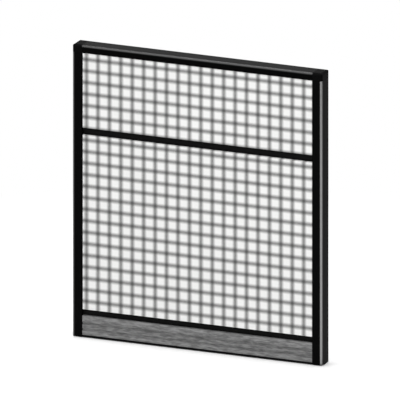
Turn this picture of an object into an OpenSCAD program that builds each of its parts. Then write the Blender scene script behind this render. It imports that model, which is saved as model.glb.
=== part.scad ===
// Free-standing office partition: a steel frame with black clip-on trims, four fabric
// tiles, a base raceway with drop-down covers, and two levelling glides.
// X runs along the panel, the front faces -Y and the floor is z = 0. Sizes are in mm.

/* [Panel] */
// Overall width, end face to end face
panel_w = 1224; // [764:1:1524]
// Overall height above the floor
panel_h = 1372; // [1200:1:1700]
// Overall thickness, front of the frame to its back
panel_t = 84; // [80:1:96]
// Height of the middle of the line between the upper and lower tiles
split_z = 967; // [700:1:1040]
// Height of the middle of the line between the lower tile and the raceway
base_z = 118.5; // [114:0.5:150]
// Height of the dark line between the upper and lower tiles
reveal_h = 33; // [20:1:36]
// Height of the dark line between the lower tile and the raceway
base_reveal_h = 28; // [20:1:32]

/* [Trims and cap] */
// Face width of each end trim
stile_face = 48; // [44:1:56]
// Face height of the top cap
cap_face = 36; // [32:1:44]
// Radius along the outer edges of the trims and the cap
edge_r = 12; // [6:0.5:13]
// Wall of the trims and the cap
trim_wall = 2.5; // [2:0.1:3]
// Hollow between a trim's outer wall and the lips that it snaps into
snap_space = 7; // [5:0.5:9]
// Height of the trims' lower ends above the floor
trim_foot = 4; // [3.5:0.5:8]
// Hairline joint between a corner cap and its neighbours
seam = 0.3; // [0.2:0.05:0.5]

/* [Snap legs] */
// Thickness of a snap leg
leg_t = 1.8; // [1.5:0.1:2.4]
// Clearance between a leg and the lip beside it
leg_gap = 0.3; // [0.2:0.05:0.5]
// How far a barb reaches behind its lip
barb = 2.2; // [1.2:0.1:3]
// Length of a barb's lead-in slope
barb_slope = 5; // [3:0.5:8]

/* [Steel frame] */
// Depth of the uprights and rails, front to back
section_d = 50; // [46:1:52]
// Width of an upright along the panel
upright_w = 50; // [44:1:56]
// Height of the top rail
top_rail_h = 40; // [36:1:50]
// Sheet thickness of the uprights and rails
section_wall = 2; // [1.5:0.1:2.5]
// Outside bend radius of the uprights and rails
bend_r = 3; // [2.6:0.1:4]
// Length of the lips that the trims snap behind
lip_len = 10; // [8:0.5:12]
// Height of the legs' lower ends above the floor
leg_foot = 30; // [29:1:36]
// Height of the cable slot through a leg
pass_h = 48; // [30:1:50]
// Width of the cable slot through a leg
pass_w = 24; // [16:1:30]
// Corner radius of that slot
pass_r = 5; // [3:0.5:7]

/* [Tiles] */
// Gap between a tile's edge and the trim or cap beside it
tile_gap = 1; // [0.5:0.1:2]
// How far the fabric lies behind the frame's face
tile_recess = 3; // [1:0.5:4]
// How far a tile laps over the rail behind its edge
tile_lap = 12; // [10:0.5:16]
// Thickness of the fabric
fabric_t = 1.2; // [0.8:0.1:1.6]
// Radius of the fabric over a tile's front edges
fabric_r = 4; // [2:0.5:5]
// Width of the fabric turned in behind a tile
hem_w = 9; // [5:0.5:9]
// Thickness of a tile's steel pan
pan_t = 1.6; // [1:0.1:2]
// Width of the pan's border
pan_border = 40; // [36:1:60]
// Corner radius of the pan's windows
pan_r = 12; // [6:1:20]
// Windows one above the other in an upper tile's pan
upper_windows = 1; // [1:1:3]
// Windows one above the other in a lower tile's pan
lower_windows = 2; // [1:1:4]

/* [Tile clips] */
// Width of a tile clip
clip_w = 30; // [20:1:40]
// Height of a clip's plate against the pan
clip_h = 20; // [14:1:22]
// Reach of a clip's arm along the rail
clip_reach = 17; // [10:0.5:18]
// Thickness of a clip's spring strip
clip_t = 1.2; // [0.8:0.1:1.2]
// Clearance between a clip's arm and its rail
clip_gap = 0.2; // [0.1:0.05:0.3]
// Distance from the end of a tile to the middle of a clip
clip_inset = 140; // [60:5:200]

/* [Raceway covers] */
// How far a cover lies behind the frame's face
cover_recess = 2; // [1:0.5:3]
// Gap between a cover's end and the trim beside it
cover_gap = 1; // [0.6:0.1:2]
// Height of a cover's lower edge above the floor
cover_foot = 14; // [13:0.5:17]
// Wall of a cover
cover_wall = 2; // [1.5:0.1:2.5]
// Distance from a cover's lower edge up to the middle of its first groove
groove_first = 26.5; // [20:0.5:28]
// Distance between the middles of the two grooves
groove_pitch = 28; // [16:0.5:30]
// Width of a groove at the cover's face
groove_w = 11; // [4:0.5:12]
// Depth of a groove
groove_d = 4; // [1.5:0.5:4.5]
// Radius of the round bead that a cover turns on
bead_r = 3; // [2.5:0.1:3.2]
// Distance from a cover's face back to the middle of its bead
bead_in = 8; // [7.8:0.1:10]
// Height of the bead's middle above the cover's lower edge
bead_rise = 4; // [3.5:0.5:6]
// Thickness of the neck that carries the bead
neck_t = 2; // [1.5:0.1:2.2]
// Running clearance around a bead
bead_gap = 0.1; // [0.05:0.01:0.15]

/* [Raceway hardware] */
// Number of brackets under the base rail
brackets = 3; // [2:1:5]
// Distance from an upright to the nearest bracket
bracket_inset = 170; // [80:10:240]
// Plate thickness of a bracket
bracket_t = 3; // [2.5:0.5:4]
// Width of a bracket's column
column_w = 16; // [12:1:20]
// Height of a bracket's foot bar
bar_h = 9; // [7:0.5:10]
// Height of a bracket's head
head_h = 10; // [8:0.5:14]
// Wall of a bracket's socket round the bead
socket_wall = 2.1; // [1.6:0.1:2.3]
// Length of the tab that is screwed to the base rail
tab_l = 18; // [16:1:24]
// Distance between the two screws of a bracket
screw_span = 28; // [22:1:32]
// Radius of a bracket screw's shank
screw_r = 2.4; // [2:0.1:2.5]
// Radius of a bracket screw's head
screw_head_r = 4.5; // [4:0.1:5]
// Height of a bracket screw's head
screw_head_h = 3; // [2:0.5:4]
// Height of the base channel's lower edges above the floor
channel_foot = 3; // [2:0.5:4]
// How far the base channel lies behind the frame's face
channel_recess = 3; // [2:0.5:6]
// Sheet thickness of the base channel
channel_wall = 1.5; // [1:0.1:2]
// Clearance between the base channel and a cover as it swings
swing_gap = 1; // [0.6:0.1:1.5]
// Sheet thickness of a cable tray
tray_wall = 1.2; // [1:0.1:1.5]
// Height of a cable tray's sides
tray_h = 10; // [6:1:14]

/* [Levelling glides] */
// Radius of a glide's pad on the floor
pad_r = 33; // [26:0.5:34]
// Thickness of a pad's rim
pad_rim = 2.5; // [2:0.1:3]
// Height of a pad
pad_h = 10; // [10:0.5:11]
// Radius of the threaded stem
stem_r = 4.95; // [4:0.05:5.5]
// Running clearance between the stem and its insert
stem_gap = 0.05; // [0.02:0.01:0.1]
// Length of the thread above the hexagon
stem_l = 62; // [58:1:70]
// Width of the stem's hexagon across its flats
hex_flats = 17; // [14:0.5:19]
// Thickness of the plate welded under a leg
foot_plate_t = 6; // [5:0.5:7]
// Radius of the insert's body
insert_r = 9; // [8:0.5:10]
// Height of the insert's flange
flange_h = 6; // [5:0.5:7]
// Radius of the insert's flange
flange_r = 13; // [11.5:0.5:15]
// Height of the insert's body above its flange
insert_h = 24; // [20:1:28]
// Free play round the stem's foot inside the pad
play = 0.3; // [0.2:0.05:0.4]

/* [Hidden] */
$fn = 64;

past = 1; // how far a cut runs past the surface that it opens
half_w = panel_w / 2;
half_t = panel_t / 2;
section_half = section_d / 2;
rail_h = reveal_h + 2 * tile_lap;

// Where the trims hold the frame
seat_in = trim_wall + snap_space;
upright_out = half_w - seat_in;
upright_in = upright_out - upright_w;
upright_mid = (upright_out + upright_in) / 2;
rail_top = panel_h - seat_in;
trim_top = panel_h - cap_face - seam;
leg_end = 5; // legs stop this far short of the frame's corners

// Tiles, measured on the front
tile_half = half_w - stile_face - tile_gap;
tile_face = -(half_t - tile_recess);
tile_d = -tile_face - section_half;
core_front = tile_face + fabric_t;
pan_back = -section_half - fabric_t;
pan_front = pan_back - pan_t;
upper_low = split_z + reveal_h / 2;
upper_high = panel_h - cap_face - tile_gap;
lower_low = base_z + base_reveal_h / 2;
lower_high = split_z - reveal_h / 2;
clip_x = tile_half - clip_inset;

// Raceway
base_bottom = base_z - rail_h / 2;
cover_top = base_z - base_reveal_h / 2;
cover_face = -(half_t - cover_recess);
cover_half = half_w - stile_face - cover_gap;
pivot_y = cover_face + bead_in;
pivot_z = cover_foot + bead_rise;
groove_z = [for (i = [0, 1]) cover_foot + groove_first + groove_pitch * i];
swing_r = sqrt(bead_in * bead_in + bead_rise * bead_rise);
channel_top = pivot_z - swing_r - swing_gap;
channel_r = (channel_top - channel_foot) * 0.4;
lip_end = 1; // gap between a cover's top return and the base rail
stop_gap = 0.3; // gap between a closed cover's leg and the bracket that stops it
head_half = section_half + 1.7;
stop_z = base_bottom - head_h / 2;
bar_low = pivot_z - bar_h / 3;
bar_top = bar_low + bar_h;
socket_r = bead_r + bead_gap + socket_wall;
socket_mouth = [155, 295]; // the part of the front socket left open, in degrees
bracket_x = [for (i = [0 : brackets - 1])
    (upright_in - bracket_inset) * (2 * i / (brackets - 1) - 1)];
screw_hole_r = screw_r + 0.1;
screw_l = 9;
tray_in = column_w / 2 + 1;
tray_out = -pivot_y - socket_r - 0.5;

// Glides
foot_plate_z = leg_foot - foot_plate_t;
insert_z = foot_plate_z - flange_h;
hex_top = insert_z - play;
hex_low = pad_h + play;
hex_r = hex_flats / sqrt(3);
button_r = 7; // the stem's foot, held inside the pad
button_low = 4;
button_top = 7;
neck_r = 4;
pad_top_r = 12;
pad_hub_r = 20;

// A flat-backed outline, w wide and d deep, with its two front corners rounded.
// Its front lies on y = 0 and its depth runs to -d.
module round_front(w, d, r) {
    translate([-w / 2, -d]) square([w, d - r]);
    translate([-w / 2 + r, -d]) square([w - 2 * r, d]);
    for (s = [-1, 1]) translate([s * (w / 2 - r), -r]) circle(r);
}

module round_rect(w, h, r) {
    square([w - 2 * r, h], center = true);
    square([w, h - 2 * r], center = true);
    for (x = [-1, 1], y = [-1, 1]) translate([x * (w / 2 - r), y * (h / 2 - r)]) circle(r);
}

// Carries an outline drawn in (Y, Z) from x = low to x = high.
module along_x(low, high) {
    translate([low, 0, 0]) rotate([90, 0, 90]) linear_extrude(high - low) children();
}

// Carries an outline drawn in (X, Z) from y = low to y = high.
module along_y(low, high) {
    translate([0, high, 0]) rotate([90, 0, 0]) linear_extrude(high - low) children();
}

// Carries an outline drawn in (X, Y) from z = low to z = high.
module along_z(low, high) {
    translate([0, 0, low]) linear_extrude(high - low) children();
}

// Turns an outline whose front lies on y = 0 to face the right-hand end at x.
module facing_end(x) {
    translate([x, 0]) rotate(-90) children();
}

// Draws its children at the right-hand end, or mirrored at the left.
module at_end(side) {
    if (side > 0) children();
    else mirror([1, 0, 0]) children();
}

// Draws its children on the front, or mirrored on the rear.
module on_face(side) {
    if (side < 0) children();
    else mirror([0, 1, 0]) children();
}

// Steel sections

// A channel with two lips, open towards y = 0.
module lipped_channel(h) {
    difference() {
        translate([0, -h / 2]) round_rect(section_d, h, bend_r);
        translate([0, -h / 2])
            round_rect(section_d - 2 * section_wall, h - 2 * section_wall, bend_r - section_wall);
        translate([0, -section_wall / 2])
            square([section_d - 2 * lip_len, section_wall + 2 * past], center = true);
    }
}

module box_section() {
    difference() {
        round_rect(section_d, rail_h, bend_r);
        round_rect(section_d - 2 * section_wall, rail_h - 2 * section_wall, bend_r - section_wall);
    }
}

module upright(side) {
    color("dimgray") at_end(side) along_z(base_bottom, rail_top)
        facing_end(upright_out) lipped_channel(upright_w);
}

// A short plain channel welded under an upright, with a slot through which cables pass.
module leg(side) {
    pass_z = (leg_foot + base_bottom) / 2;
    color("dimgray") at_end(side) difference() {
        along_z(leg_foot, base_bottom) intersection() {
            translate([upright_out, 0]) difference() {
                round_rect(2 * upright_w, section_d, bend_r);
                round_rect(2 * (upright_w - section_wall), section_d - 2 * section_wall,
                    bend_r - section_wall);
            }
            translate([upright_in - past, -section_half - past])
                square([upright_w + past, section_d + 2 * past]);
        }
        translate([0, 0, pass_z]) rotate([90, 0, 90])
            linear_extrude(upright_in + section_wall + past)
            round_rect(pass_w, min(pass_h, base_bottom - leg_foot - 10), pass_r);
    }
}

module top_rail() {
    color("dimgray") along_x(-upright_in, upright_in)
        translate([0, rail_top]) lipped_channel(top_rail_h);
}

module middle_rail() {
    color("black") along_x(-upright_in, upright_in) translate([0, split_z]) box_section();
}

module base_rail() {
    color("black") difference() {
        along_x(-upright_in, upright_in) translate([0, base_z]) box_section();
        screw_places() translate([0, 0, -past])
            cylinder(r = screw_hole_r, h = section_wall + 2 * past);
    }
}

// Clip-on trims

// The trim's wall: two faces, two round outer edges and the web between them.
module trim_shell(face) {
    difference() {
        round_front(panel_t, face, edge_r);
        translate([0, -trim_wall])
            round_front(panel_t - 2 * trim_wall, face, edge_r - trim_wall);
    }
}

// The edges that turn in from the faces to meet the frame.
module trim_returns(face) {
    reach = half_t - trim_wall / 2 - section_half;
    for (s = [-1, 1])
        translate([s * (section_half + reach / 2), -face + trim_wall / 2])
            square([reach, trim_wall], center = true);
}

// Two barbed legs that snap behind a channel's lips.
module snap_legs() {
    outer = section_half - lip_len - leg_gap;
    inner = outer - leg_t;
    barb_top = -seat_in - section_wall - leg_gap;
    tip = outer + leg_gap + barb;
    for (s = [0, 1]) mirror([s, 0])
        polygon([
            [inner, -trim_wall / 2], [outer, -trim_wall / 2], [outer, barb_top],
            [tip, barb_top], [tip, barb_top - 1], [outer, barb_top - barb_slope - 1],
            [inner, barb_top - barb_slope - 1]
        ]);
}

module end_trim(side) {
    color([0.05, 0.05, 0.055]) at_end(side) {
        along_z(trim_foot, trim_top) facing_end(half_w) {
            trim_shell(stile_face);
            trim_returns(stile_face);
        }
        along_z(base_bottom + leg_end, trim_top - leg_end) facing_end(half_w) snap_legs();
    }
}

module top_cap() {
    cap_half = half_w - stile_face;
    color([0.05, 0.05, 0.055]) {
        along_x(-cap_half, cap_half) translate([0, panel_h]) {
            trim_shell(cap_face);
            trim_returns(cap_face);
        }
        along_x(-upright_in + leg_end, upright_in - leg_end)
            translate([0, panel_h]) snap_legs();
    }
}

// A moulded cap over the top of an upright. Its tongue slides into the top cap's end.
module corner_cap(side) {
    inner_x = half_w - stile_face + seam;
    low = panel_h - cap_face;
    tongue_half = half_t - edge_r - seam;
    color([0.06, 0.06, 0.06]) at_end(side) {
        difference() {
            intersection() {
                along_x(inner_x, half_w) translate([0, panel_h]) round_front(panel_t, cap_face, edge_r);
                along_z(low, panel_h) facing_end(half_w) round_front(panel_t, stile_face, edge_r);
                along_y(-half_t, half_t) {
                    translate([inner_x, low]) square([stile_face - seam - edge_r, cap_face]);
                    translate([inner_x, low]) square([stile_face - seam, cap_face - edge_r]);
                    translate([half_w - edge_r, panel_h - edge_r]) circle(edge_r);
                }
            }
            translate([inner_x - past, -section_half - seam, low - past])
                cube([upright_out - inner_x + seam + past, section_d + 2 * seam,
                      rail_top - low + seam + past]);
        }
        translate([inner_x - upright_w / 5, -tongue_half, rail_top + seam])
            cube([upright_w / 5 + past, 2 * tongue_half, snap_space - 2 * seam]);
    }
}

// Tiles, drawn on the front

// The whole tile as one block with round front edges.
module tile_block(low, high) {
    intersection() {
        along_x(-tile_half, tile_half) translate([tile_face, (low + high) / 2])
            rotate(90) round_front(high - low, tile_d, fabric_r);
        along_z(low, high) translate([0, tile_face])
            mirror([0, 1]) round_front(2 * tile_half, tile_d, fabric_r);
    }
}

module tile_fabric(low, high) {
    inside = tile_half - fabric_t;
    window = inside - hem_w;
    color([0.9, 0.9, 0.88]) difference() {
        tile_block(low, high);
        translate([-inside, core_front, low + fabric_t])
            cube([2 * inside, pan_back - core_front, high - low - 2 * fabric_t]);
        translate([-window, pan_back - past, low + fabric_t + hem_w])
            cube([2 * window, fabric_t + 2 * past, high - low - 2 * (fabric_t + hem_w)]);
    }
}

module tile_core(low, high) {
    inside = tile_half - fabric_t;
    color("khaki") translate([-inside, core_front, low + fabric_t])
        cube([2 * inside, pan_front - core_front, high - low - 2 * fabric_t]);
}

// The sheet steel pan behind the core, with rounded windows and a strap between them.
module tile_pan(low, high, rows) {
    inside = tile_half - fabric_t;
    pitch = (high - low - 2 * fabric_t - pan_border) / rows;
    color("silver") along_y(pan_front, pan_back) difference() {
        translate([-inside, low + fabric_t]) square([2 * inside, high - low - 2 * fabric_t]);
        for (i = [0 : rows - 1])
            translate([0, low + fabric_t + pan_border / 2 + pitch * (i + 0.5)])
                round_rect(2 * (inside - pan_border), pitch - pan_border, pan_r);
    }
}

// One spring clip: a plate on the pan and an arm that lies on the rail's edge.
module tile_clip() {
    tip = [clip_reach + 4, 3];
    along_x(-clip_w / 2, clip_w / 2) translate([pan_back, clip_gap]) polygon([
        [0, 0], [clip_reach, 0], tip, [tip[0] - 0.8, tip[1] + clip_t],
        [clip_reach - 0.4, clip_t], [clip_t, clip_t], [clip_t, clip_h], [0, clip_h]
    ]);
}

// Clips at the two ends of the rail below a tile and of the rail above it.
module tile_clips(rail_below, rail_above) {
    color("silver") for (x = [-clip_x, clip_x]) {
        translate([x, 0, rail_below]) tile_clip();
        translate([x, 0, rail_above]) mirror([0, 0, 1]) tile_clip();
    }
}

// Raceway

// A groove's outline, deepened and widened by grow for the metal behind it.
module groove(z, grow) {
    translate([cover_face, z]) polygon([
        [0, -groove_w / 2 - grow], [groove_d + grow, -groove_w / 4 - grow],
        [groove_d + grow, groove_w / 4 + grow], [0, groove_w / 2 + grow]
    ]);
}

module cover_section() {
    difference() {
        union() {
            translate([cover_face, cover_foot]) square([cover_wall, cover_top - cover_foot]);
            translate([cover_face, cover_top - cover_wall])
                square([-section_half - lip_end - cover_face, cover_wall]);
            translate([cover_face, stop_z])
                square([-head_half - stop_gap - cover_face, cover_wall * 0.8]);
            translate([cover_face + cover_wall / 2, pivot_z - neck_t / 2])
                square([bead_in - cover_wall / 2, neck_t]);
            translate([pivot_y, pivot_z]) circle(bead_r);
            for (z = groove_z) groove(z, cover_wall * 0.8);
        }
        for (z = groove_z) translate([-0.01, 0]) groove(z, 0);
    }
}

module raceway_cover(side) {
    color([0.45, 0.45, 0.45]) on_face(side)
        along_x(-cover_half, cover_half) cover_section();
}

// A bracket's plate: a foot bar with a socket at each end, a column and a head.
module bracket_plate() {
    mouth = 2 * socket_r;
    difference() {
        union() {
            translate([pivot_y + bead_r, bar_low]) square([-2 * (pivot_y + bead_r), bar_h]);
            translate([-column_w / 2, channel_top]) square([column_w, base_bottom - channel_top]);
            translate([-head_half, base_bottom - head_h]) square([2 * head_half, head_h]);
            for (s = [-1, 1]) translate([s * pivot_y, pivot_z]) circle(socket_r);
        }
        for (s = [0, 1]) mirror([s, 0]) translate([pivot_y, pivot_z]) {
            circle(bead_r + bead_gap);
            polygon([
                [0, 0],
                for (i = [0 : 4]) let (a = socket_mouth[0] + (socket_mouth[1] - socket_mouth[0]) * i / 4)
                    mouth * [cos(a), sin(a)]
            ]);
        }
    }
}

// The middles of the bracket screws, on the underside of the base rail.
module screw_places() {
    for (x = bracket_x, s = [-1, 1])
        translate([x + bracket_t + tab_l / 2, s * screw_span / 2, base_bottom]) children();
}

module raceway_brackets() {
    color("silver") difference() {
        for (x = bracket_x) {
            along_x(x, x + bracket_t) bracket_plate();
            translate([x + bracket_t / 2, -head_half, base_bottom - bracket_t])
                cube([tab_l + bracket_t / 2, 2 * head_half, bracket_t]);
        }
        screw_places() translate([0, 0, -bracket_t - past])
            cylinder(r = screw_hole_r, h = bracket_t + 2 * past);
    }
}

module bracket_screws() {
    color("gray") screw_places() {
        translate([0, 0, -bracket_t - screw_head_h]) cylinder(r = screw_head_r, h = screw_head_h);
        translate([0, 0, -bracket_t - past]) cylinder(r = screw_r, h = screw_l + past);
    }
}

// A shallow channel, open downwards, that closes the bottom between the end trims. The
// brackets' columns are welded to it, and its web is notched round the glides.
module base_channel() {
    deep = 2 * (half_t - channel_recess);
    color("black") difference() {
        along_x(-cover_half, cover_half) difference() {
            translate([0, channel_top]) round_front(deep, channel_top - channel_foot, channel_r);
            translate([-deep / 2 + channel_wall, channel_foot - past])
                square([deep - 2 * channel_wall, channel_top - channel_foot - channel_wall + past]);
        }
        for (s = [-1, 1]) translate([s * upright_mid, 0, channel_foot])
            cylinder(r = pad_hub_r + 2, h = channel_top);
    }
}

// A folded tray on the brackets' foot bars, on one side of their columns.
module cable_tray(side) {
    color("lightgray") on_face(side) along_x(-upright_in + past, upright_in - past)
        translate([-tray_out, bar_top]) difference() {
            square([tray_out - tray_in, tray_h]);
            translate([tray_wall, tray_wall])
                square([tray_out - tray_in - 2 * tray_wall, tray_h]);
        }
}

// Levelling glides

module foot_plate(side) {
    color("dimgray") at_end(side) difference() {
        translate([upright_in, -section_half, foot_plate_z])
            cube([upright_w, section_d, foot_plate_t]);
        translate([upright_mid, 0, foot_plate_z - past])
            cylinder(r = insert_r + stem_gap, h = foot_plate_t + 2 * past);
    }
}

// The threaded insert, its flange under the foot plate.
module glide_insert(side) {
    color("silver") at_end(side) translate([upright_mid, 0, insert_z]) difference() {
        union() {
            cylinder(r = flange_r, h = flange_h);
            cylinder(r = insert_r, h = flange_h + insert_h);
        }
        translate([0, 0, -past]) cylinder(r = stem_r + stem_gap, h = flange_h + insert_h + 2 * past);
    }
}

// The stem turns inside the pad and screws through the insert.
module glide_stem(side) {
    color("silver") at_end(side) translate([upright_mid, 0, 0]) {
        translate([0, 0, button_low]) cylinder(r = button_r, h = button_top - button_low);
        translate([0, 0, button_low]) cylinder(r = neck_r, h = hex_low + 1 - button_low);
        translate([0, 0, hex_low]) cylinder(r = hex_r, h = hex_top - hex_low, $fn = 6);
        translate([0, 0, hex_low]) cylinder(r = stem_r, h = hex_top - hex_low + stem_l);
    }
}

module glide_pad(side) {
    color([0.1, 0.1, 0.1]) at_end(side) translate([upright_mid, 0, 0]) rotate_extrude()
        polygon([
            [0, 0], [pad_r, 0], [pad_r, pad_rim], [pad_hub_r, pad_rim + 1], [pad_top_r, pad_h],
            [neck_r + play, pad_h],
            [neck_r + play, button_top + play], [button_r + play, button_top + play],
            [button_r + play, button_low - play], [0, button_low - play]
        ]);
}

upright(-1);  // left_upright
upright(1);  // right_upright
top_rail();
middle_rail();
base_rail();
leg(-1);  // left_leg
leg(1);  // right_leg
end_trim(-1);  // left_end_trim
end_trim(1);  // right_end_trim
top_cap();
corner_cap(-1);  // left_corner_cap
corner_cap(1);  // right_corner_cap
on_face(-1) tile_fabric(upper_low, upper_high);  // front_upper_fabric
on_face(-1) tile_core(upper_low, upper_high);  // front_upper_core
on_face(-1) tile_pan(upper_low, upper_high, upper_windows);  // front_upper_pan
on_face(-1) tile_clips(split_z + rail_h / 2, rail_top - top_rail_h);  // front_upper_clips
on_face(-1) tile_fabric(lower_low, lower_high);  // front_lower_fabric
on_face(-1) tile_core(lower_low, lower_high);  // front_lower_core
on_face(-1) tile_pan(lower_low, lower_high, lower_windows);  // front_lower_pan
on_face(-1) tile_clips(base_z + rail_h / 2, split_z - rail_h / 2);  // front_lower_clips
on_face(1) tile_fabric(upper_low, upper_high);  // rear_upper_fabric
on_face(1) tile_core(upper_low, upper_high);  // rear_upper_core
on_face(1) tile_pan(upper_low, upper_high, upper_windows);  // rear_upper_pan
on_face(1) tile_clips(split_z + rail_h / 2, rail_top - top_rail_h);  // rear_upper_clips
on_face(1) tile_fabric(lower_low, lower_high);  // rear_lower_fabric
on_face(1) tile_core(lower_low, lower_high);  // rear_lower_core
on_face(1) tile_pan(lower_low, lower_high, lower_windows);  // rear_lower_pan
on_face(1) tile_clips(base_z + rail_h / 2, split_z - rail_h / 2);  // rear_lower_clips
raceway_cover(-1);  // front_raceway_cover
raceway_cover(1);  // rear_raceway_cover
raceway_brackets();
bracket_screws();
base_channel();
cable_tray(-1);  // front_cable_tray
cable_tray(1);  // rear_cable_tray
foot_plate(-1);  // left_foot_plate
foot_plate(1);  // right_foot_plate
glide_insert(-1);  // left_glide_insert
glide_insert(1);  // right_glide_insert
glide_stem(-1);  // left_glide_stem
glide_stem(1);  // right_glide_stem
glide_pad(-1);  // left_glide_pad
glide_pad(1);  // right_glide_pad
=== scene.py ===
import bpy
import math
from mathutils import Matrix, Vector


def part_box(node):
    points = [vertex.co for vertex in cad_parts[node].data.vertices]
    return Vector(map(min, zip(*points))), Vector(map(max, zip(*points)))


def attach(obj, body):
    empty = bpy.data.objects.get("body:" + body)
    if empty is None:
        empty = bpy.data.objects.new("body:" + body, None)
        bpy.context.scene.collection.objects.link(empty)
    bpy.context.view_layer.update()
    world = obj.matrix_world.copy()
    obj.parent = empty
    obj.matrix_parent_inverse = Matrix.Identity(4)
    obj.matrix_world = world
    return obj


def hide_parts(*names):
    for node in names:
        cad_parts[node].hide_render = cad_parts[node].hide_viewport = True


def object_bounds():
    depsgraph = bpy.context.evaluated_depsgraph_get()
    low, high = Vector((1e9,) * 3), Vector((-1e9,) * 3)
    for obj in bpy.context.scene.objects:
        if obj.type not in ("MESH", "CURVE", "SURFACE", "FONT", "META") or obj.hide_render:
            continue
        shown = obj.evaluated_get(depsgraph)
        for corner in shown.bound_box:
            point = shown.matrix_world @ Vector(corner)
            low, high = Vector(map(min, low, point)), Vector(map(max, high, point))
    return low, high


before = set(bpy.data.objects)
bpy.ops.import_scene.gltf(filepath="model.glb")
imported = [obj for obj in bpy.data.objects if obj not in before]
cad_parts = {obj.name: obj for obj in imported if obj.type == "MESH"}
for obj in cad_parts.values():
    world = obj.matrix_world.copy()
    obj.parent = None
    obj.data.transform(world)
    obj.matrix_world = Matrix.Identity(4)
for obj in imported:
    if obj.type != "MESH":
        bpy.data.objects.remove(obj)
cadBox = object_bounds()
print("frame loaded")


# Shader maths as plain expressions

class Value:
    def __init__(self, nodes, socket):
        self.nodes = nodes
        self.socket = socket

    def __add__(self, other):
        return self.nodes.maths("ADD", self, other)

    def __radd__(self, other):
        return self.nodes.maths("ADD", other, self)

    def __sub__(self, other):
        return self.nodes.maths("SUBTRACT", self, other)

    def __rsub__(self, other):
        return self.nodes.maths("SUBTRACT", other, self)

    def __mul__(self, other):
        return self.nodes.maths("MULTIPLY", self, other)

    def __rmul__(self, other):
        return self.nodes.maths("MULTIPLY", other, self)

    def __truediv__(self, other):
        return self.nodes.maths("DIVIDE", self, other)


class Nodes:
    def __init__(self, owner, outputKind):
        owner.use_nodes = True
        self.tree = owner.node_tree
        self.tree.nodes.clear()
        self.output = self.tree.nodes.new(outputKind)

    def node(self, kind, settings=None, inputs=(), output=0):
        made = self.tree.nodes.new(kind)
        for name, value in (settings or {}).items():
            if name == "stops":
                for index, (place, colour) in enumerate(value):
                    if index > 1:
                        made.color_ramp.elements.new(place)
                    made.color_ramp.elements[index].position = place
                    made.color_ramp.elements[index].color = colour
            else:
                setattr(made, name, value)
        pairs = inputs.items() if isinstance(inputs, dict) else enumerate(inputs)
        for name, value in pairs:
            if isinstance(value, Value):
                self.tree.links.new(value.socket, made.inputs[name])
            else:
                made.inputs[name].default_value = value
        return Value(self, made.outputs[output])

    def maths(self, operation, *values):
        return self.node("ShaderNodeMath", {"operation": operation}, values)

    def ray(self, kind):
        return self.node("ShaderNodeLightPath", output=kind)

    def show(self, shader):
        self.tree.links.new(shader.socket, self.output.inputs[0])


class Finish(Nodes):
    def __init__(self, name, fixed):
        self.material = bpy.data.materials.new(name)
        super().__init__(self.material, "ShaderNodeOutputMaterial")
        self.surface = self.node("ShaderNodeBsdfPrincipled", {}, fixed)
        self.show(self.surface)
        self.place = self.node("ShaderNodeTexCoord", output="Object")

    def feed(self, name, value):
        self.tree.links.new(value.socket, self.surface.socket.node.inputs[name])

    def axes(self, place=None):
        parts = self.node("ShaderNodeSeparateXYZ", {}, [place or self.place]).socket.node
        return [Value(self, parts.outputs[index]) for index in range(3)]

    def clamp(self, value):
        return self.node("ShaderNodeClamp", {}, [value])

    def step(self, value, low, high):
        return self.node("ShaderNodeMapRange", {"interpolation_type": "SMOOTHSTEP"},
                         {"Value": value, "From Min": low, "From Max": high})

    def noise(self, size, detail=2.0, stretch=(1, 1, 1), roughness=0.5):
        spread = self.node("ShaderNodeMapping", {}, {"Vector": self.place, "Scale": stretch})
        return self.node("ShaderNodeTexNoise", {}, {"Vector": spread, "Scale": 1 / size,
                                                    "Detail": detail, "Roughness": roughness})

    def blend(self, factor, first, second):
        return self.node("ShaderNodeMix", {"data_type": "RGBA"},
                         {0: factor, 6: first, 7: second}, output=2)

    def bump(self, height, depth, strength):
        self.feed("Normal", self.node("ShaderNodeBump", {}, {"Height": height, "Distance": depth,
                                                             "Strength": strength}))


def grey(level):
    return (level, level, level, 1)


# Windowpane check on a plain weave. Lengths are in metres
weave = {
    "pitchX": 0.0560, "startX": 0.0173, "pitchZ": 0.0540, "startZ": 0.0100,
    "lineWidth": 0.0176, "lineEdge": 0.0085, "cover": 0.71, "wobbleSize": 0.020, "wobble": 0.0010,
    "yarn": 0.0016, "crossing": 1.25, "crossTone": 0.35, "gapShade": 0.11,
    "pale": 0.84, "blueShare": 0.992, "dark": 0.020,
    "slubSize": 0.0011, "slub": 0.20, "cloudSize": 0.16, "cloud": 0.10,
    "relief": 0.00050, "slubRelief": 0.5, "reliefStrength": 0.6,
}


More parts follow.
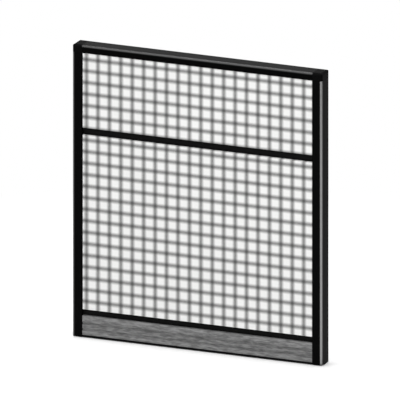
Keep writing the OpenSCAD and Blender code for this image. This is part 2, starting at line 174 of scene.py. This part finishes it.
def weaveFinish():
    f = Finish("checkCloth", {"Roughness": 0.92, "Specular IOR Level": 0.08,
                              "Sheen Weight": 0.06, "Sheen Roughness": 0.6})
    x, z = f.axes(f.node("ShaderNodeUVMap", {"uv_map": "laidFlat"}))[:2]
    wobble = (f.noise(weave["wobbleSize"]) - 0.5) * weave["wobble"]

    def line(along, start, pitch):
        phase = f.maths("FRACT", (along + wobble - start) / pitch + 0.5)
        distance = f.maths("ABSOLUTE", phase - 0.5) * pitch
        half = weave["lineWidth"] / 2
        return 1 - f.step(distance, half - weave["lineEdge"], half + weave["lineEdge"])

    warpLine = line(x, weave["startX"], weave["pitchX"])
    weftLine = line(z, weave["startZ"], weave["pitchZ"])
    turn = math.pi / weave["yarn"]
    waveX = f.maths("SINE", x * turn)
    waveZ = f.maths("SINE", z * turn)
    over = f.clamp(waveX * waveZ * weave["crossing"] + 0.5)
    tone = 1 - (1 - warpLine * weave["cover"]) * (1 - weftLine * weave["cover"])
    tone = f.clamp(tone + (warpLine - weftLine) * (over - 0.5) * weave["crossTone"])
    slub = f.noise(weave["slubSize"], 3.0, roughness=0.7)
    cloud = f.noise(weave["cloudSize"])
    light = 1 - (slub - 0.5) * weave["slub"] - (cloud - 0.5) * weave["cloud"]
    # painted shade: the cloth is darker between the yarns, where shade falls in the weave's gaps
    light = light * (1 - (1 - f.maths("ABSOLUTE", waveX * waveZ)) * weave["gapShade"])
    pale = light * weave["pale"]
    pale = f.node("ShaderNodeCombineColor", {}, [pale, pale, pale * weave["blueShare"]])
    f.feed("Base Color", f.blend(tone, pale, grey(weave["dark"])))
    ridgeX = f.maths("ABSOLUTE", waveX)
    ridgeZ = f.maths("ABSOLUTE", waveZ)
    yarns = over * ridgeX + (1 - over) * ridgeZ
    f.bump(yarns + slub * weave["slubRelief"], weave["relief"], weave["reliefStrength"])
    return f.material


# Black satin extrusion: die lines run along the piece, and its round edges shine
trimBlack = {
    "tones": (0.00128, 0.00216), "lineShare": 0.6, "specular": 0.010,
    "lineSize": 0.0016, "speckSize": 0.0009, "cloudSize": 0.12,
    "rough": 0.26, "roughClouds": 0.08, "roughLines": 0.06, "relief": 0.00006,
    "edge": 0.012, "edgeFade": 0.4, "shineFrom": 0.70, "shineLines": 0.60,
    "shineRough": 0.30, "shineIor": 1.7,
}


def trimFinish(name, stretch, shine):
    f = Finish(name, {"Specular IOR Level": trimBlack["specular"],
                      "Coat Roughness": trimBlack["shineRough"],
                      "Coat IOR": trimBlack["shineIor"]})
    lines = f.noise(trimBlack["lineSize"], 3.0, stretch, 0.6)
    speck = f.noise(trimBlack["speckSize"])
    cloud = f.noise(trimBlack["cloudSize"])
    x, y, z = f.axes()
    edge = trimBlack["edge"]
    beyondX = f.maths("ABSOLUTE", x) - (cadBox[1].x - edge)
    beyondY = f.maths("ABSOLUTE", y) - (cadBox[1].y - edge)
    beyondZ = z - (cadBox[1].z - edge)
    beyond = f.maths("MINIMUM", beyondY, f.maths("MAXIMUM", beyondX, beyondZ))
    rounded = f.step(beyond, 0.0, edge * trimBlack["edgeFade"])
    f.feed("Coat Weight",
           rounded * (trimBlack["shineFrom"] + lines * trimBlack["shineLines"]) * shine)
    mixed = lines * trimBlack["lineShare"] + cloud * (1 - trimBlack["lineShare"])
    dark, pale = trimBlack["tones"]
    f.feed("Base Color", f.blend(mixed, grey(dark), grey(pale)))
    f.feed("Roughness", trimBlack["rough"] + (cloud - 0.5) * trimBlack["roughClouds"]
           + (lines - 0.5) * trimBlack["roughLines"])
    f.bump(lines * 0.7 + speck * 0.3, trimBlack["relief"], 0.5)
    return f.material


# Moulded plastic of the corner caps and pads, with a fine grain
moulded = {
    "cap": {"name": "capBlack", "tones": (0.00153, 0.00216), "rough": 0.55},
    "pad": {"name": "padBlack", "tones": (0.0102, 0.0144), "rough": 0.60},
    "specular": 0.02, "grainSize": 0.0010, "cloudSize": 0.05, "roughGrain": 0.12,
    "relief": 0.00010,
}


def mouldedFinish(kind):
    plastic = moulded[kind]
    f = Finish(plastic["name"], {"Specular IOR Level": moulded["specular"]})
    grain = f.noise(moulded["grainSize"], 3.0, roughness=0.65)
    cloud = f.noise(moulded["cloudSize"])
    dark, pale = plastic["tones"]
    f.feed("Base Color", f.blend(cloud, grey(dark), grey(pale)))
    f.feed("Roughness", plastic["rough"] + (grain - 0.5) * moulded["roughGrain"])
    f.bump(grain, moulded["relief"], 0.6)
    return f.material


# Black powder coat of the steel frame, with a fine orange peel
powderCoat = {
    "tones": (0.0032, 0.0050), "specular": 0.03, "peelSize": 0.0022, "cloudSize": 0.2,
    "rough": 0.48, "roughPeel": 0.12, "relief": 0.00012,
}


def powderFinish():
    f = Finish("powderCoat", {"Specular IOR Level": powderCoat["specular"]})
    peel = f.noise(powderCoat["peelSize"])
    cloud = f.noise(powderCoat["cloudSize"])
    dark, pale = powderCoat["tones"]
    f.feed("Base Color", f.blend(cloud, grey(dark), grey(pale)))
    f.feed("Roughness", powderCoat["rough"] + (peel - 0.5) * powderCoat["roughPeel"])
    f.bump(peel, powderCoat["relief"], 0.6)
    return f.material


# Grey raceway cover with streaks along its length, and painted light and shade across its height:
# painted highlight on the lands and the top band, painted shade in the grooves and at the bottom edge.
# Each pair of this painted shading is a share of the cover's height and the tone there
coverGrey = {
    "base": 0.181, "streak": 0.56, "broadShare": 0.62, "specular": 0.15,
    "broadSize": 0.0085, "broadStretch": (0.22, 1, 1), "brushSize": 0.0011,
    "brushStretch": (0.03, 1, 1), "grainSize": 0.0010,
    "rough": 0.50, "roughStreak": 0.10, "relief": 0.00008,
    "paintedShadeAndHighlight": [(0.00, 0.70), (0.09, 0.97), (0.16, 0.96), (0.24, 0.84), (0.29, 0.75), (0.35, 0.80),
             (0.45, 0.82), (0.60, 0.73), (0.71, 0.84), (0.82, 0.98), (0.93, 1.00), (1.00, 0.92)],
}


def coverFinish():
    f = Finish("racewayGrey", {"Specular IOR Level": coverGrey["specular"]})
    broad = f.noise(coverGrey["broadSize"], 2.0, coverGrey["broadStretch"], 0.6)
    brushed = f.noise(coverGrey["brushSize"], 3.0, coverGrey["brushStretch"], 0.6)
    share = coverGrey["broadShare"]
    streak = f.step(broad, 0.30, 0.70) * share + f.step(brushed, 0.25, 0.75) * (1 - share)
    grain = f.noise(coverGrey["grainSize"])
    low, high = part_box("front_raceway_cover")
    height = (f.axes()[2] - low.z) / (high.z - low.z)
    stops = [(place, grey(tone)) for place, tone in coverGrey["paintedShadeAndHighlight"]]
    # painted shade in the grooves and at the bottom edge, and a painted highlight on the lands and the
    # top band, set by height on the cover
    paintedLight = f.node("ShaderNodeValToRGB", {"stops": stops}, [height])
    tone = ((streak - 0.5) * 2 * coverGrey["streak"] + 1) * paintedLight * coverGrey["base"]
    f.feed("Base Color", f.node("ShaderNodeCombineColor", {}, [tone, tone, tone]))
    f.feed("Roughness", coverGrey["rough"] + (streak - 0.5) * coverGrey["roughStreak"])
    f.bump(streak * 0.6 + grain * 0.4, coverGrey["relief"], 0.5)
    return f.material


# Zinc-plated steel. A glide's stem has its thread above the hexagon
zinc = {
    "tones": (0.34, 0.50), "spangles": 160.0, "spangleShare": 0.6, "cloudSize": 0.02,
    "rough": 0.32, "roughSpangle": 0.16, "relief": 0.00005,
}
thread = {"pitch": 0.0015, "from": 0.0180, "depth": 0.0009}


def zincFinish(name, threaded):
    f = Finish(name, {"Metallic": 1.0})
    cells = f.node("ShaderNodeTexVoronoi", {}, {"Vector": f.place, "Scale": zinc["spangles"]},
                   "Color")
    spangle = f.node("ShaderNodeRGBToBW", {}, [cells])
    cloud = f.noise(zinc["cloudSize"], 3.0)
    mixed = spangle * zinc["spangleShare"] + cloud * (1 - zinc["spangleShare"])
    dark, pale = zinc["tones"]
    f.feed("Base Color", f.blend(mixed, grey(dark), grey(pale)))
    f.feed("Roughness", zinc["rough"] + spangle * zinc["roughSpangle"])
    if threaded:
        low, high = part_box("right_glide_stem")
        x, y, z = f.axes()
        fromAxis = f.maths("ABSOLUTE", x) - (low.x + high.x) / 2
        turns = f.maths("ARCTAN2", y, fromAxis) / (2 * math.pi)
        ridge = f.maths("PINGPONG", z / thread["pitch"] + turns, 0.5) * 2
        cut = f.step(z, thread["from"], thread["from"] + thread["pitch"])
        f.bump(ridge * cut, thread["depth"], 1.0)
    else:
        f.bump(cloud, zinc["relief"], 0.4)
    return f.material


# Pressed fibre board of the cores
board = {
    "dark": (0.42, 0.35, 0.23, 1), "pale": (0.60, 0.53, 0.38, 1), "fibreShare": 0.7,
    "fibreSize": 0.0018, "fibreStretch": (0.5, 1, 1), "cloudSize": 0.06, "relief": 0.0003,
}


def boardFinish():
    f = Finish("acousticBoard", {"Roughness": 0.95, "Specular IOR Level": 0.1})
    fibre = f.noise(board["fibreSize"], 5.0, board["fibreStretch"], 0.7)
    cloud = f.noise(board["cloudSize"], 3.0)
    mixed = fibre * board["fibreShare"] + cloud * (1 - board["fibreShare"])
    f.feed("Base Color", f.blend(mixed, board["dark"], board["pale"]))
    f.bump(fibre, board["relief"], 0.8)
    return f.material


# The trims' lines run up the uprights and along the cap, which shines half as much
checkCloth = weaveFinish()
finishes = {
    "uprightTrim": trimFinish("trimBlackUpright", (1, 1, 0.012), 1.0),
    "capTrim": trimFinish("trimBlackLying", (0.012, 1, 1), 0.50),
    "cap": mouldedFinish("cap"),
    "frame": powderFinish(),
    "cover": coverFinish(),
    "zinc": zincFinish("zincSteel", False),
    "thread": zincFinish("zincThread", True),
    "board": boardFinish(),
    "pad": mouldedFinish("pad"),
}
finishOf = {
    "left_upright": "frame", "right_upright": "frame", "top_rail": "frame",
    "middle_rail": "frame", "base_rail": "frame", "base_channel": "frame",
    "left_leg": "frame", "right_leg": "frame",
    "left_foot_plate": "frame", "right_foot_plate": "frame",
    "left_end_trim": "uprightTrim", "right_end_trim": "uprightTrim", "top_cap": "capTrim",
    "left_corner_cap": "cap", "right_corner_cap": "cap",
    "front_raceway_cover": "cover", "rear_raceway_cover": "cover",
    "left_glide_pad": "pad", "right_glide_pad": "pad",
    "left_glide_stem": "thread", "right_glide_stem": "thread",
}
for name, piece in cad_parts.items():
    if name.endswith("_fabric"):
        continue
    kind = finishOf.get(name, "board" if name.endswith("_core") else "zinc")
    for index in range(len(piece.material_slots)):
        piece.material_slots[index].material = finishes[kind]
print("finishes given to the frame's nodes")


# Fabric of a tile: one cut of cloth, pulled over the board's edges and turned in behind
tile = {
    "edgeRadius": 0.004, "edgeSteps": 5, "backRadius": 0.0010, "backSteps": 3, "hem": 0.009,
    "thick": 0.0011, "cell": 0.016, "smoothUnder": 50, "near": 1e-5,
    "slack": 0.00025, "holdPower": 8, "waves": ((7.3, 2.1), (-1.3, 5.7)),
}


# The cloth's section from the flat face to the hem, as pairs of outset and depth
def turnedEdge(depth):
    r, b = tile["edgeRadius"], tile["backRadius"]
    rings = []
    for step in range(1, tile["edgeSteps"] + 1):
        a = math.pi / 2 * step / tile["edgeSteps"]
        rings.append((-r + r * math.sin(a), r * (1 - math.cos(a))))
    for step in range(tile["backSteps"] + 1):
        a = math.pi / 2 * step / tile["backSteps"]
        rings.append((-b + b * math.cos(a), depth - b + b * math.sin(a)))
    rings.append((-tile["hem"], depth))
    return rings


# Gives each point of the cloth its place on the flat cut, so the weave turns in with it
def layFlat(cloth, middle, halfX, halfZ, face, rings):
    r, near = tile["edgeRadius"], tile["near"]
    marks = [(-r, 0.0, 0.0)]
    for outset, depth in rings:
        last = marks[-1]
        marks.append((outset, depth, last[2] + math.hypot(outset - last[0], depth - last[1])))
    spots = []
    for vertex in cloth.data.vertices:
        dx, dz = vertex.co.x - middle.x, vertex.co.z - middle.z
        deep = abs(vertex.co.y - face)
        outX, outZ = abs(dx) - halfX, abs(dz) - halfZ
        reach = max(outX, outZ)
        if reach < -r - near and deep < near:
            spots.append((vertex.co.x, vertex.co.z))
            continue
        outset, depth, run = min(marks, key=lambda mark: math.hypot(mark[0] - reach, mark[1] - deep))
        u = dx * (halfX - r) / (halfX + outset)
        v = dz * (halfZ - r) / (halfZ + outset)
        if outX > outset - near:
            u += math.copysign(run, dx)
        if outZ > outset - near:
            v += math.copysign(run, dz)
        spots.append((middle.x + u, middle.z + v))
    layer = cloth.data.uv_layers.active
    layer.name = "laidFlat"
    for loop in cloth.data.loops:
        layer.data[loop.index].uv = spots[loop.vertex_index]


# Slack of the stretched cloth, least at the edges
def slacken(cloth, middle, halfX, halfZ, face, inward):
    first, second = tile["waves"]
    for vertex in cloth.data.vertices:
        u = (vertex.co.x - middle.x) / halfX
        v = (vertex.co.z - middle.z) / halfZ
        if abs(vertex.co.y - face) < tile["near"]:
            hold = (1 - u ** tile["holdPower"]) * (1 - v ** tile["holdPower"])
            wave = math.sin(first[0] * u + first[1] * v) * math.sin(second[0] * u + second[1] * v)
            vertex.co.y += inward * tile["slack"] * hold * (0.5 + 0.5 * wave)


def stretchCloth(name, node, side):
    low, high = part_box(node)
    face, back = (low.y, high.y) if side < 0 else (high.y, low.y)
    inward = 1 if side < 0 else -1
    middle = (low + high) / 2
    r = tile["edgeRadius"]
    halfX = (high.x - low.x) / 2
    halfZ = (high.z - low.z) / 2
    bpy.ops.object.select_all(action="DESELECT")
    bpy.ops.mesh.primitive_grid_add(
        x_subdivisions=round(2 * halfX / tile["cell"]), y_subdivisions=round(2 * halfZ / tile["cell"]),
        size=1, location=(middle.x, face, middle.z), rotation=(inward * math.pi / 2, 0, 0))
    cloth = bpy.context.object
    cloth.name = name
    cloth.scale = (2 * (halfX - r), 2 * (halfZ - r), 1)
    bpy.ops.object.transform_apply(location=True, rotation=True, scale=True)
    depth = abs(back - face)
    rings = turnedEdge(depth)
    bpy.ops.object.mode_set(mode="EDIT")
    bpy.ops.mesh.select_mode(type="EDGE")
    bpy.ops.mesh.select_all(action="SELECT")
    bpy.ops.mesh.region_to_loop()
    outset, y = -r, 0.0
    for newOutset, newY in rings:
        bpy.ops.mesh.extrude_edges_move(
            TRANSFORM_OT_translate={"value": (0, inward * (newY - y), 0)})
        bpy.ops.transform.resize(
            value=((halfX + newOutset) / (halfX + outset), 1, (halfZ + newOutset) / (halfZ + outset)),
            center_override=(middle.x, face + inward * newY, middle.z))
        outset, y = newOutset, newY
    bpy.ops.mesh.select_all(action="SELECT")
    bpy.ops.mesh.normals_make_consistent(inside=False)
    bpy.ops.object.mode_set(mode="OBJECT")
    layFlat(cloth, middle, halfX, halfZ, face, rings)
    slacken(cloth, middle, halfX, halfZ, face, inward)
    shell = cloth.modifiers.new("thickness", "SOLIDIFY")
    shell.thickness = tile["thick"]
    shell.offset = -1
    bpy.ops.object.modifier_apply(modifier=shell.name)
    bpy.ops.object.shade_smooth_by_angle(angle=math.radians(tile["smoothUnder"]))
    cloth.data.materials.clear()
    cloth.data.materials.append(checkCloth)
    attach(cloth, "frame")
    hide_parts(node)
    wrap = depth + tile["hem"]
    width, length = 2 * (halfX + wrap), 2 * (halfZ + wrap)
    area = width * length - 4 * wrap * wrap


for faceName, side in (("front", -1), ("rear", 1)):
    for part in ("upper", "lower"):
        stretchCloth(faceName + part.capitalize() + "Cloth", f"{faceName}_{part}_fabric", side)
print("cloth stretched over the tiles")


# Camera: parallel view from the right of the front and above
photo = {"azimuth": 23.3, "elevation": 16.3, "scale": 1.8, "right": -0.0032, "up": 0.6715,
         "distance": 7, "farthest": 60}


def aimCamera():
    a, e = math.radians(photo["azimuth"]), math.radians(photo["elevation"])
    right = Vector((math.cos(a), math.sin(a), 0))
    up = Vector((-math.sin(a) * math.sin(e), math.cos(a) * math.sin(e), math.cos(e)))
    towards = Vector((math.sin(a) * math.cos(e), -math.cos(a) * math.cos(e), math.sin(e)))
    data = bpy.data.cameras.new("photoCamera")
    data.type = "ORTHO"
    data.ortho_scale = photo["scale"]
    data.clip_end = photo["farthest"]
    camera = bpy.data.objects.new("photoCamera", data)
    camera.location = right * photo["right"] + up * photo["up"] + towards * photo["distance"]
    camera.rotation_euler = (-towards).to_track_quat("-Z", "Y").to_euler()
    bpy.context.scene.collection.objects.link(camera)
    bpy.context.scene.camera = camera


aimCamera()


# Studio: pale floor, white surroundings and soft lamps. Each lamp has its place, its target,
# its width and height, and its power
studio = {
    "ambient": 0.42, "floorSize": 60, "floorWhite": 0.90, "floorGlow": 0.22,
    "fadeFrom": 1.3, "fadeTo": 2.6,
    "lamps": [
        ("keySoftbox", (1.8, -4.6, 1.9), (0, 0, 0.75), 2.8, 2.4, 111),
        ("overheadSoftbox", (-1.5, -2.1, 4.1), (0, 0, 1.2), 2.2, 2.6, 60),
        ("overheadStrip", (0, 0.05, 4.2), (0, 0.05, 0), 3.2, 0.30, 60),
        ("rearSoftbox", (-2.2, 4.4, 1.9), (0, 0, 0.75), 2.8, 2.4, 145),
    ],
    # card lying face up on the floor. Only the end trims mirror it, mostly in their round edges
    "card": {"centre": (3.12, -2.40, 0.004), "length": 5.0, "width": 4.7, "power": 290},
}


# Near the object the floor shows light and shadow, and farther off it fades to white
def layFloor():
    bpy.ops.object.select_all(action="DESELECT")
    bpy.ops.mesh.primitive_plane_add(size=studio["floorSize"], location=(0, 0, 0))
    floor = bpy.context.object
    floor.name = "studioFloor"
    material = bpy.data.materials.new("floorWhite")
    f = Nodes(material, "ShaderNodeOutputMaterial")
    matt = f.node("ShaderNodeBsdfDiffuse", {}, {"Color": grey(studio["floorWhite"])})
    glow = f.node("ShaderNodeEmission", {}, {"Strength": studio["floorGlow"]})
    white = f.node("ShaderNodeEmission")
    lit = f.node("ShaderNodeAddShader", {}, [matt, glow])
    place = f.node("ShaderNodeTexCoord", output="Object")
    away = f.node("ShaderNodeVectorMath", {"operation": "LENGTH"}, [place], "Value")
    fade = f.node("ShaderNodeMapRange", {}, {"Value": away, "From Min": studio["fadeFrom"],
                                             "From Max": studio["fadeTo"]})
    faded = f.node("ShaderNodeMixShader", {}, [fade, lit, white])
    seen = f.maths("MAXIMUM", f.ray("Is Camera Ray"), f.ray("Is Glossy Ray"))
    f.show(f.node("ShaderNodeMixShader", {}, [seen, matt, faded]))
    floor.data.materials.append(material)


# White where it is seen, mirrored or seen through, and dimmer as light on the object
def whiteWorld():
    world = bpy.data.worlds.new("studioWorld")
    bpy.context.scene.world = world
    f = Nodes(world, "ShaderNodeOutputWorld")
    dim = f.node("ShaderNodeBackground", {}, {"Color": grey(1), "Strength": studio["ambient"]})
    white = f.node("ShaderNodeBackground", {}, {"Color": grey(1), "Strength": 1})
    seen = f.maths("MAXIMUM", f.ray("Is Camera Ray"), f.ray("Is Glossy Ray"))
    seen = f.maths("MAXIMUM", seen, f.ray("Is Transmission Ray"))
    f.show(f.node("ShaderNodeMixShader", {}, [seen, dim, white]))


def areaLamp(name, width, height, power):
    data = bpy.data.lights.new(name, "AREA")
    data.shape = "RECTANGLE"
    data.size = width
    data.size_y = height
    data.energy = power
    lamp = bpy.data.objects.new(name, data)
    lamp.visible_camera = False
    bpy.context.scene.collection.objects.link(lamp)
    return lamp


def hangLamps():
    for name, place, target, width, height, power in studio["lamps"]:
        lamp = areaLamp(name, width, height, power)
        lamp.location = place
        lamp.rotation_euler = (Vector(target) - Vector(place)).to_track_quat("-Z", "Y").to_euler()
        lamp.visible_glossy = name != "rearSoftbox"


def layEdgeCard():
    card = studio["card"]
    lamp = areaLamp("edgeCard", card["length"], card["width"], card["power"])
    lamp.location = card["centre"]
    lamp.rotation_euler = (math.pi, 0, 0)
    lamp.visible_diffuse = False
    mirrors = bpy.data.collections.new("edgeMirrors")
    for name in ("left_end_trim", "right_end_trim"):
        mirrors.objects.link(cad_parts[name])
    lamp.light_linking.receiver_collection = mirrors


layFloor()
whiteWorld()
hangLamps()
layEdgeCard()
bpy.context.scene.view_settings.view_transform = "Standard"
print("camera and studio set")
